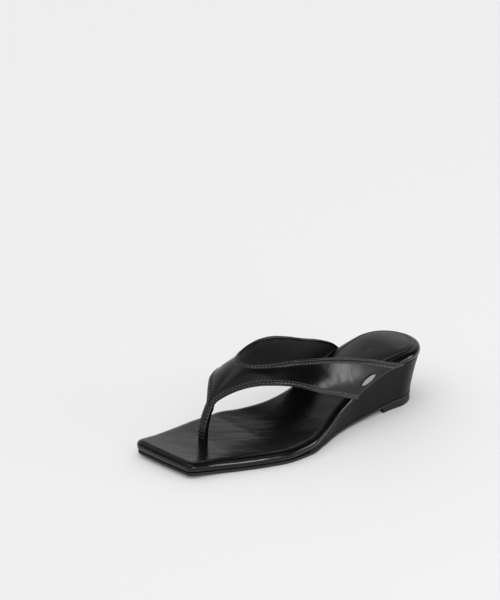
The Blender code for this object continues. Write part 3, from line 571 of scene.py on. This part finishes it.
mesh = bmesh.new()
uvLayer = mesh.loops.layers.uv.new("UVMap")
for side in (1, -1):
    rows, columns = strapRows[side], strap["columns"]
    travelled = runLengths([(inner + outer) / 2 for inner, outer in rows])
    spots = {}
    grid = bmesh.ops.create_grid(mesh, x_segments=columns, y_segments=len(rows) - 1, size=0.5)["verts"]
    for vert in grid:
        column, row = round((vert.co.x + 0.5) * columns), round((vert.co.y + 0.5) * (len(rows) - 1))
        share = column / columns
        spots[vert] = (travelled[row], side * share * (rows[row][1] - rows[row][0]).length)
        vert.co = strapPlace(side, rows, row, share)
    for face in {face for vert in grid for face in vert.link_faces}:
        for loop in face.loops:
            loop[uvLayer].uv = spots[loop.vert]
        if side < 0:
            face.normal_flip()
bmesh.ops.remove_doubles(mesh, verts=mesh.verts, dist=0.002 * mm)
mesh.normal_update()
if max(mesh.faces, key=lambda face: face.calc_center_median().z).normal.z < 0:
    bmesh.ops.reverse_faces(mesh, faces=mesh.faces)
inside = [vert for vert in mesh.verts if not vert.is_boundary]
nearRidge = []
for vert in inside:
    along = vert.co.y / sole["length"]
    if vert.co.z > footbedTop(vert.co.y) + strap["smoothAbove"] * strap["instep"] and along < strap["smoothBefore"]:
        if abs(vert.co.x - smooth(strap["ridge"], along) * halfBall) < strap["ridgeReach"]:
            nearRidge.append(vert)
for _ in range(strap["passes"]):
    bmesh.ops.smooth_vert(mesh, verts=nearRidge, factor=0.5, use_axis_x=True, use_axis_y=True, use_axis_z=True)
mesh.normal_update()
strapFace = BVHTree.FromBMesh(mesh)
# thick in the post, thinning out above it over a few millimetres
postTop = footbedTop(ridgeLine[0].y) + strap["thinsAbove"] * strap["instep"]
postBack = strap["post"][-1][0] * sole["length"]
thin = strap["wall"] / strap["postDepth"]
shares = [1 - (1 - thin) * max(ease(vert.co.z, postTop, postTop + strap["thinning"]),
                               ease(vert.co.y, postBack - 1 * mm, postBack + strap["thinning"]))
          for vert in mesh.verts]
strapPiece = piece("strap_wall", mesh, strapLeather, liningSkin)
wallGroup = strapPiece.vertex_groups.new(name="wall")
for i, share in enumerate(shares):
    wallGroup.add([i], share, "REPLACE")
wall = strapPiece.modifiers.new("wall", "SOLIDIFY")
wall.thickness = strap["postDepth"]
wall.offset = -1.0
wall.vertex_group = wallGroup.name
wall.material_offset = 1
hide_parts("upper")
print("strap wall made")

# Folded edge: depth inwards and height over the strap's face in mm, from under the edge to its inner rim
edging = {
    "profile": ((1.3, -1.75), (0.4, -1.72), (-0.10, -1.45), (-0.32, -0.90), (-0.34, -0.30), (-0.18, 0.22),
                (0.12, 0.46), (0.45, 0.50), (0.78, 0.36), (1.00, 0.14), (1.25, 0.12), (1.50, 0.36), (1.85, 0.62),
                (2.30, 0.70), (2.80, 0.58), (3.10, 0.32), (3.30, 0.12), (3.52, 0.14), (3.75, 0.32), (4.00, 0.30),
                (4.18, 0.10), (4.28, -0.12)),
    # in mm: the puffed middle's start and end, the stitches' depths and height, the pucker; rimPucker is its share
    "puff": (1.2, 3.3), "stitchDepths": (1.12, 3.40), "stitchHeight": 0.26, "pucker": 0.16, "rimPucker": 0.3,
    "width": 4.25 * mm, "step": 0.55 * mm, "pitch": 2.75 * mm, "throatWidth": 0.0060,
}


def evenly(line, step):  # points at even spacing along a line of points
    lengths = runLengths(line)
    count, made, k = max(round(lengths[-1] / step), 2), [], 0
    for i in range(count + 1):
        want = lengths[-1] * i / count
        while k < len(line) - 2 and lengths[k + 1] < want:
            k += 1
        made.append(line[k].lerp(line[k + 1], min((want - lengths[k]) / max(lengths[k + 1] - lengths[k], 1e-9), 1.0)))
    return made


def edgeFrames(line, widths):
    # along the edge: point, outward normal, inward direction and how much of the edging's width fits
    points = evenly(line, edging["step"])
    normals = []
    for i, point in enumerate(points):
        along = (points[min(i + 1, len(points) - 1)] - points[max(i - 1, 0)]).normalized()
        normal = strapFace.find_nearest(point)[1]
        normals.append((along, (normal - along * normal.dot(along)).normalized()))
    frames, votes = [], 0
    for i, point in enumerate(points):
        near = normals[max(i - 5, 0):i + 6]
        normal = sum((n for _, n in near), Vector()).normalized()
        inward = normals[i][0].cross(normal).normalized()
        votes += (strapFace.find_nearest(point - inward * 2 * mm)[3]
                  > strapFace.find_nearest(point + inward * 2 * mm)[3])
        fit = min(1.0, (widths(i / (len(points) - 1)) - 0.05 * mm) / edging["width"])
        frames.append([point, normal, inward, fit])
    if votes < len(frames) / 2:
        for spot in frames:
            spot[2] = -spot[2]
    return frames


def onEdging(spot, deep, high):  # place on the folded edge, depth and height in mm
    point, normal, inward, fit = spot
    if deep < 0.3:
        return point + inward * deep * mm * fit + normal * high * mm
    target = point + inward * deep * mm * fit
    if high < -0.5:
        return target + normal * high * mm
    place, faceNormal = strapFace.find_nearest(target)[:2]
    return place + (normal + faceNormal).normalized() * high * mm


def alongWidths(side):  # width of each row, read by share of the front edge's length
    rows = strapRows[side]
    lengths = runLengths([outer for inner, outer in rows])
    table = [(length / lengths[-1], (inner - outer).length) for length, (inner, outer) in zip(lengths, rows)]
    return lambda share: [wide for reached, wide in table if reached <= share][-1]


seatStart = len(frontLines[1]) - 1 - (len(strap["outerSeat"]) - 1) * strap["rowSteps"]
edges = {"throat": edgeFrames(throatWhole[2:-2], lambda share: edging["throatWidth"])}
for side, word in ((1, "outer"), (-1, "inner")):
    part = frontLines[side][4:seatStart + 1]
    partLength, wholeLength, width = runLengths(part)[-1], runLengths(frontLines[side])[-1], alongWidths(side)
    edges[word] = edgeFrames(part, lambda share: width(share * partLength / wholeLength))
mesh = bmesh.new()
seams = []
for word, frames in edges.items():
    profile = edging["profile"]
    pitch = edging["pitch"] / edging["step"]

    def onProfile(column, row):
        deep, high = profile[column % len(profile)]
        start, end = edging["puff"]
        wave = math.cos(2 * math.pi * row / pitch)
        if start < deep < end:
            high += edging["pucker"] * wave * math.sin(math.pi * (deep - start) / (end - start))
        if deep < start and high > 0:
            high += edging["rimPucker"] * edging["pucker"] * wave
        return onEdging(frames[row], deep, high)

    mappedGrid(mesh, len(profile), len(frames) - 1, onProfile)
    for deep in edging["stitchDepths"]:
        seams.append([onEdging(spot, deep, edging["stitchHeight"]) for spot in frames])
bmesh.ops.remove_doubles(mesh, verts=mesh.verts, dist=0.001 * mm)
bmesh.ops.holes_fill(mesh, edges=mesh.edges, sides=0)
bmesh.ops.recalc_face_normals(mesh, faces=mesh.faces)
edgingPiece = piece("strap_edging", mesh, edgeLeather)
print("folded edges made")


def stitchRow(name, line, long, thick, pitch):  # one stitch, arrayed and bent along a line
    curveData = bpy.data.curves.new(name + "_line", "CURVE")
    curveData.dimensions = "3D"
    run = curveData.splines.new("POLY")
    run.points.add(len(line) - 1)
    for point, place in zip(run.points, line):
        point.co = (*place, 1.0)
    curve = bpy.data.objects.new(name + "_line", curveData)
    bpy.context.scene.collection.objects.link(curve)
    stitch = bmesh.new()
    bmesh.ops.create_uvsphere(stitch, u_segments=6, v_segments=5, radius=0.5)
    bmesh.ops.rotate(stitch, verts=stitch.verts, matrix=Matrix.Rotation(math.radians(90), 3, "Y"))
    bmesh.ops.scale(stitch, verts=stitch.verts, vec=(long, thick, thick))
    data = bpy.data.meshes.new(name)
    stitch.to_mesh(data)
    stitch.free()
    row = bpy.data.objects.new(name, data)
    bpy.context.scene.collection.objects.link(row)
    array = row.modifiers.new("array", "ARRAY")
    array.use_relative_offset = False
    array.use_constant_offset = True
    array.constant_offset_displace = (pitch, 0, 0)
    array.fit_type = "FIT_LENGTH"
    array.fit_length = runLengths(line)[-1] - pitch
    bend = row.modifiers.new("bend", "CURVE")
    bend.object = curve
    bpy.context.view_layer.update()
    made = bpy.data.meshes.new_from_object(row.evaluated_get(bpy.context.evaluated_depsgraph_get()))
    bpy.data.objects.remove(row)
    bpy.data.objects.remove(curve)
    return made


def joinedStitches(name, rows):
    mesh = bmesh.new()
    for row in rows:
        mesh.from_mesh(row)
    made = piece(name, mesh, thread)


stitches = {"long": 1.9 * mm, "thick": 0.52 * mm}
rows = [stitchRow(f"row_{i}", line, stitches["long"], stitches["thick"], edging["pitch"])
        for i, line in enumerate(seams)]
joinedStitches("strap_stitches", rows)
print("strap stitched")

# Heel pad: a closed cover that swells over its foam, sewn round just inside its rim
pad = {"margin": 5.5 * mm, "nose": 0.0580, "edge": 1.0 * mm, "crown": 2.0 * mm, "rise": 0.15 * mm, "turns": 160,
       # sewn groove and rolled rim
       "groove": 0.60 * mm, "grooveAt": 2.0 * mm, "grooveWidth": 0.55 * mm, "rimDrop": 0.5 * mm, "rimReach": 0.7 * mm,
       # cloth: the swelling is capped, and fades out from swellsWithin over swellFade, shares of the way to the rim
       "voxel": 1.8 * mm, "pressure": 30.0, "cap": 0.7 * mm, "frames": 20, "heldBelow": 0.8 * mm,
       "heldWithin": 2.6 * mm, "rimPoints": 90, "swellsWithin": 0.93, "swellFade": 0.12,
       # stitches: length, thickness, pitch
       "seamPoints": 240, "seamHeight": 0.08 * mm, "stitch": (1.9 * mm, 0.45 * mm, 2.4 * mm)}
padRadius = heelRadius - pad["margin"]
padMiddle = heelCentre + Vector((0.0, (padRadius - pad["nose"]) / 2))


def padRim(turn):
    reach = padRadius if math.sin(turn) >= 0 else pad["nose"]
    return heelCentre + Vector((padRadius * math.cos(turn), reach * math.sin(turn)))


def padTop(x, y, share):
    return footbedTop(y) + pad["rise"] + pad["edge"] + pad["crown"] * (1 - share ** 2.5)


def padMesh(shares, turns):  # closed cover: underside, rim and top as rings round the middle
    mesh = bmesh.new()

    def onRing(column, row):
        share, over = shares[row]
        rim = padRim(2 * math.pi * (column % turns) / turns)
        point = padMiddle + (rim - padMiddle) * share
        bottom = footbedTop(point.y) + 0.1 * mm
        return point.x, point.y, bottom if over is None else over(point.x, point.y, share)

    mappedGrid(mesh, turns, len(shares) - 1, onRing)
    bmesh.ops.remove_doubles(mesh, verts=mesh.verts, dist=0.002 * mm)
    bmesh.ops.recalc_face_normals(mesh, faces=mesh.faces)
    return mesh


def swollenPad():  # the pad blown up a little by cloth pressure, its rim and underside held
    shares = [(s, None) for s in (0.0, 0.3, 0.6, 0.85, 0.99)] + [(1.0, lambda x, y, s: footbedTop(y) + 0.5 * mm)]
    shares += [(s, padTop) for s in (0.985, 0.94, 0.86, 0.74, 0.6, 0.45, 0.3, 0.15, 0.0)]
    data = bpy.data.meshes.new("pad_foam")
    mesh = padMesh(shares, 64)
    mesh.to_mesh(data)
    mesh.free()
    foam = bpy.data.objects.new("pad_foam", data)
    bpy.context.scene.collection.objects.link(foam)
    remesh = foam.modifiers.new("remesh", "REMESH")
    remesh.mode = "VOXEL"
    remesh.voxel_size = pad["voxel"]
    bpy.context.view_layer.update()
    data = bpy.data.meshes.new_from_object(foam.evaluated_get(bpy.context.evaluated_depsgraph_get()))
    foam.modifiers.clear()
    foam.data = data
    before = [vert.co.copy() for vert in data.vertices]
    held = foam.vertex_groups.new(name="held")
    for i, place in enumerate(before):
        away = min((Vector((place.x, place.y)) - padRim(2 * math.pi * k / pad["rimPoints"])).length
                   for k in range(pad["rimPoints"]))
        if place.z < footbedTop(place.y) + pad["heldBelow"] or away < pad["heldWithin"]:
            held.add([i], 1.0, "REPLACE")
    cloth = foam.modifiers.new("cloth", "CLOTH")
    cloth.settings.use_pressure = True
    cloth.settings.uniform_pressure_force = pad["pressure"]
    cloth.settings.effector_weights.gravity = 0
    cloth.settings.vertex_group_mass = "held"
    cloth.settings.quality = 6
    cloth.settings.mass = 0.05
    cloth.settings.tension_stiffness = cloth.settings.compression_stiffness = 5.0
    cloth.settings.bending_stiffness = 0.05
    cloth.point_cache.frame_start, cloth.point_cache.frame_end = 1, pad["frames"]
    for number in range(1, pad["frames"] + 1):
        bpy.context.scene.frame_set(number)
    result = foam.evaluated_get(bpy.context.evaluated_depsgraph_get()).to_mesh()
    after = [vert.co.copy() for vert in result.vertices]
    bpy.context.scene.frame_set(1)
    moved = [b - a for a, b in zip(before, after)]
    longest = max(move.length for move in moved)
    foam.modifiers.clear()
    faces = [tuple(face.vertices) for face in foam.data.polygons]
    capped = [a + move * min(1.0, pad["cap"] / max(longest, 1e-9)) for a, move in zip(before, moved)]
    print("pad swelled", round(longest * 1000, 2), "mm before the cap")
    bpy.data.objects.remove(foam)
    return BVHTree.FromPolygons(before, faces), BVHTree.FromPolygons(capped, faces)


foam = swollenPad()


def padCover(x, y, share):
    rim = min(1.0, share)
    height = padTop(x, y, rim)
    if foam and rim < pad["swellsWithin"]:
        flat, swollen = (tree.ray_cast(Vector((x, y, 0.1)), Vector((0, 0, -1)))[0] for tree in foam)
        if flat and swollen:
            height += (swollen.z - flat.z) * ease(pad["swellsWithin"] - rim, 0.0, pad["swellFade"])
    away = (1 - rim) * (Vector((x, y)) - padMiddle).length / max(rim, 1e-6)
    height -= pad["groove"] * math.exp(-((away - pad["grooveAt"]) / pad["grooveWidth"]) ** 2)
    height -= pad["rimDrop"] * max(1 - away / pad["rimReach"], 0.0) ** 2
    return height


shares = [(s, None) for s in (0.0, 0.5, 0.9, 0.985)] + [(0.998, lambda x, y, s: footbedTop(y) + 0.25 * mm)]
shares += [(s, padCover) for s in (1.0, 0.996, 0.990, 0.982, 0.972, 0.962, 0.952, 0.944, 0.936, 0.928, 0.920, 0.912,
                                   0.904, 0.894, 0.88, 0.86, 0.83, 0.79, 0.74, 0.68, 0.61, 0.53, 0.44, 0.34, 0.23,
                                   0.12, 0.0)]
padPiece = piece("heel_pad_cover", padMesh(shares, pad["turns"]), padLeather)
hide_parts("heel_pad")
seam = []
for k in range(pad["seamPoints"] + 1):
    rim = padRim(2 * math.pi * k / pad["seamPoints"])
    share = 1 - pad["grooveAt"] / (rim - padMiddle).length
    point = padMiddle + (rim - padMiddle) * share
    seam.append(Vector((point.x, point.y, padCover(point.x, point.y, share) + pad["seamHeight"])))
joinedStitches("pad_stitches", [stitchRow("pad_row", seam, *pad["stitch"])])
print("pad made")

# Badge: an oval plate on the outer band, bare, with a raised rim
badge = {"long": 16.5 * mm, "wide": 5.6 * mm, "thick": 0.8 * mm, "row": 8.50, "across": 0.61, "aim": 2.5 * mm,
         "lifted": 0.25 * mm, "sink": 0.25 * mm, "round": 0.22 * mm, "rim": 0.45 * mm, "slope": 0.12 * mm,
         "sunk": 0.18 * mm}
rows, steps = strapRows[1], strap["rowSteps"]
badgeRow = round(firstRow + badge["row"] * steps)
outward = rowOutward(1, rows, badgeRow)
middle = strapPlace(1, rows, badgeRow, badge["across"])
ahead = Vector((0.0, badge["aim"], footbedBottom(middle.y + badge["aim"]) - footbedBottom(middle.y)))
ahead = (ahead - outward * ahead.dot(outward)).normalized()
across = outward.cross(ahead)
mesh = bmesh.new()
uvLayer = mesh.loops.layers.uv.new("UVMap")
bmesh.ops.create_circle(mesh, cap_ends=True, segments=72, radius=0.5)
bmesh.ops.scale(mesh, verts=mesh.verts, vec=(badge["long"], badge["wide"], 1))
bmesh.ops.translate(mesh, verts=mesh.verts, vec=(0, 0, badge["lifted"]))
top = [part for part in bmesh.ops.extrude_face_region(mesh, geom=mesh.faces[:])["geom"]
       if isinstance(part, bmesh.types.BMVert)]
bmesh.ops.translate(mesh, verts=top, vec=(0, 0, badge["thick"]))
bmesh.ops.recalc_face_normals(mesh, faces=mesh.faces)
upperFace = max(mesh.faces, key=lambda face: face.calc_center_median().z)
bmesh.ops.bevel(mesh, geom=list(upperFace.edges), offset=badge["round"], segments=3, profile=0.5, affect="EDGES",
                material=-1)
upperFace = max((face for face in mesh.faces if len(face.verts) > 20), key=lambda face: face.calc_center_median().z)
bmesh.ops.inset_region(mesh, faces=[upperFace], thickness=badge["rim"], depth=0.0)
bmesh.ops.inset_region(mesh, faces=[upperFace], thickness=badge["slope"], depth=-badge["sunk"])
# the sunk field takes the brushed metal, all else the rim's dark, which is painted shade
for face in mesh.faces:
    face.material_index = 0 if face is upperFace else 1
    for loop in face.loops:
        loop[uvLayer].uv = (loop.vert.co.x, loop.vert.co.y)
turned = Matrix((ahead, across, outward)).transposed().to_4x4()
bmesh.ops.transform(mesh, verts=mesh.verts, matrix=Matrix.Translation(middle - outward * badge["sink"]) @ turned)
badgePiece = piece("badge_plate", mesh, badgeMetal, paintedShadeRim)
badgePiece.data.set_sharp_from_angle(angle=math.radians(40))
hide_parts("badge")
print("badge made")

# Studio: a pale matt floor, pale surroundings behind, dark ones overhead and on the camera's side
view = {"azimuth": 50.92, "elevation": 21.33, "distance": 2.930, "pixels": 3558.0, "pictureWidth": 600, "film": 36.0,
        "target": (-0.19427, 0.1141, 0.0200)}
azimuth, elevation = math.radians(view["azimuth"]), math.radians(view["elevation"])
back = Vector((math.sin(azimuth) * math.cos(elevation), -math.cos(azimuth) * math.cos(elevation),
               math.sin(elevation)))
camera = bpy.data.objects.new("camera", bpy.data.cameras.new("camera"))
bpy.context.scene.collection.objects.link(camera)
camera.data.sensor_width = view["film"]
camera.data.lens = view["pixels"] / view["pictureWidth"] * view["film"]
camera.location = Vector(view["target"]) + back * view["distance"]
camera.rotation_mode = "QUATERNION"
camera.rotation_quaternion = (-back).to_track_quat("-Z", "Y")
camera.data.clip_start, camera.data.clip_end = 0.1, 100.0
bpy.context.scene.camera = camera

mesh = bmesh.new()
bmesh.ops.create_grid(mesh, x_segments=1, y_segments=1, size=15.0)
bmesh.ops.translate(mesh, verts=mesh.verts, vec=(0, 0, -0.02 * mm))
data = bpy.data.meshes.new("floor")
mesh.to_mesh(data)
mesh.free()
floor = bpy.data.objects.new("floor", data)
bpy.context.scene.collection.objects.link(floor)
# opal acrylic, sanded matt: nearly white, lit mostly from above, with a faint glow of its own
floorAcrylic = newMaterial(
    "matte_opal_acrylic", "#E6E6E6", 0.9, Emission_Color=linear("#FFFFFF"), Emission_Strength=0.10)
data.materials.append(floorAcrylic)

studio = {
    "dark": 0.07, "pale": 0.66,
    # pale surroundings: turn and rise of their middle, and the cosines and the heights between which they fade
    "rear": (-165, 0, 0.25, 0.70), "top": (0.85, 0.60),
    # dark card: turn, rise, cosines where it is full and where it ends, share of the light left
    "card": (-174, 31, 0.9986, 0.985, 0.05),
    # suns: turn from the camera towards the right, rise, strength, and width in degrees
    "keySize": 80, "keys": ((5, 54, 0.70), (-50, 52, 0.60)), "dome": (-150, 80, 1.42, 135), "sunDistance": 3.0,
    # soft boxes: name, turn, rise, distance, width, height, power in watts
    "boxes": (("rightBox", 87, 6.8, 1.35, 0.26, 0.31, 1.5), ("rightBoxSoft", 86, 6.8, 1.36, 0.54, 0.38, 2.0),
              ("cornerBox", 33, 5, 1.35, 0.34, 0.24, 4.2)),
}


def towards(turn, rise):  # direction seen from the sandal, turned from the camera to the picture's right
    angle = azimuth - math.radians(90) + math.radians(turn)
    rise = math.radians(rise)
    return Vector((math.cos(angle) * math.cos(rise), math.sin(angle) * math.cos(rise), math.sin(rise)))


world = bpy.data.worlds.new("studio")
bpy.context.scene.world = world
world.use_nodes = True
tree = world.node_tree
direction = addNode(tree, "ShaderNodeTexCoord").outputs["Generated"]


def facing(turn, rise):  # cosine of the angle between the sky's direction and another
    return addNode(tree, "ShaderNodeVectorMath", {"operation": "DOT_PRODUCT", 1: towards(turn, rise)},
                   {0: direction}).outputs["Value"]


def fade(value, start, end, low, high):
    return addNode(tree, "ShaderNodeMapRange", {"interpolation_type": "SMOOTHSTEP", "From Min": start, "From Max": end,
                                                "To Min": low, "To Max": high}, {"Value": value}).outputs["Result"]


height = addNode(tree, "ShaderNodeSeparateXYZ", {}, {"Vector": direction}).outputs["Z"]
rear = fade(facing(*studio["rear"][:2]), *studio["rear"][2:], 0.0, 1.0)
low = fade(height, *studio["top"], studio["dark"], studio["pale"])
level = addNode(tree, "ShaderNodeMix", {"data_type": "FLOAT", 2: studio["dark"]}, {0: rear, 3: low})
# the dark card behind the strap keeps the middle of the footbed black
card = fade(facing(*studio["card"][:2]), *studio["card"][2:], 1.0)
level = addNode(tree, "ShaderNodeMath", {"operation": "MULTIPLY"}, {0: level.outputs[0], 1: card})
tree.links.new(level.outputs[0], tree.nodes["Background"].inputs["Strength"])
tree.nodes["Background"].inputs["Color"].default_value = linear("#FFFFFF")


def addLight(name, kind, way, distance, **settings):  # a lamp that faces the sandal
    light = bpy.data.lights.new(name, kind)
    for key, value in settings.items():
        setattr(light, key, value)
    lamp = bpy.data.objects.new(name, light)
    lamp.location = way * distance
    lamp.rotation_mode = "QUATERNION"
    lamp.rotation_quaternion = way.to_track_quat("Z", "Y")
    bpy.context.scene.collection.objects.link(lamp)
    return lamp


for turn, rise, energy in studio["keys"]:
    addLight("key", "SUN", towards(turn, rise), studio["sunDistance"], energy=energy,
             angle=math.radians(studio["keySize"]))
for name, turn, rise, distance, wide, tall, power in studio["boxes"]:
    addLight(name, "AREA", towards(turn, rise), distance, shape="RECTANGLE", size=wide, size_y=tall, energy=power)
# wide light from overhead for the floor alone: the leather mirrors a dark ceiling
floorOnly = bpy.data.collections.new("floor_only")
floorOnly.objects.link(floor)
turn, rise, energy, wide = studio["dome"]
dome = addLight("dome", "SUN", towards(turn, rise), studio["sunDistance"], energy=energy, angle=math.radians(wide))
dome.light_linking.receiver_collection = floorOnly
bpy.context.scene.view_settings.view_transform = "Standard"
print("studio made")
